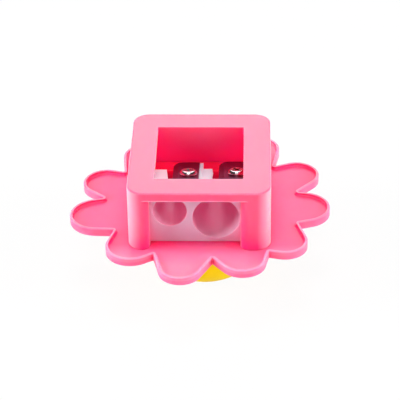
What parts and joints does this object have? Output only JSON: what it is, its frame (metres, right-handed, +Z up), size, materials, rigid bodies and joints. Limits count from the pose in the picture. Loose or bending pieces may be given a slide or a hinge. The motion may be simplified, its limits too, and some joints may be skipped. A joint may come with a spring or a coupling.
{
  "type": "pencil sharpener",
  "caption": "Pencil sharpener with holes for slim and thick pencils, in a windowed housing on a flower-shaped plate that stands on a domed centre.",
  "frame": {"origin": "on the surface the sharpener stands on, at the flat foot of the domed flower centre, straight below the middle of the housing; the foot's own centre lies 0.8 mm right and 0.7 mm behind it", "axes": "+Z up, from the foot to the housing's roof; -Y towards the pencil holes; +X to the right as seen from the pencil holes"},
  "size_m": [0.0636, 0.0645, 0.0338],
  "materials": {
    "pink_plastic": "satin",
    "yellow_plastic": "satin",
    "white_plastic": "satin",
    "blade_steel": "brushed",
    "screw_steel": "polished"
  },
  "bodies": {
    "root": {"flower_centre": "yellow_plastic", "petal_plate": "pink_plastic", "housing": "pink_plastic", "sharpener_body": "white_plastic", "small_blade": "blade_steel", "large_blade": "blade_steel", "small_blade_screw": "screw_steel", "large_blade_screw": "screw_steel"}
  },
  "joints": []
}
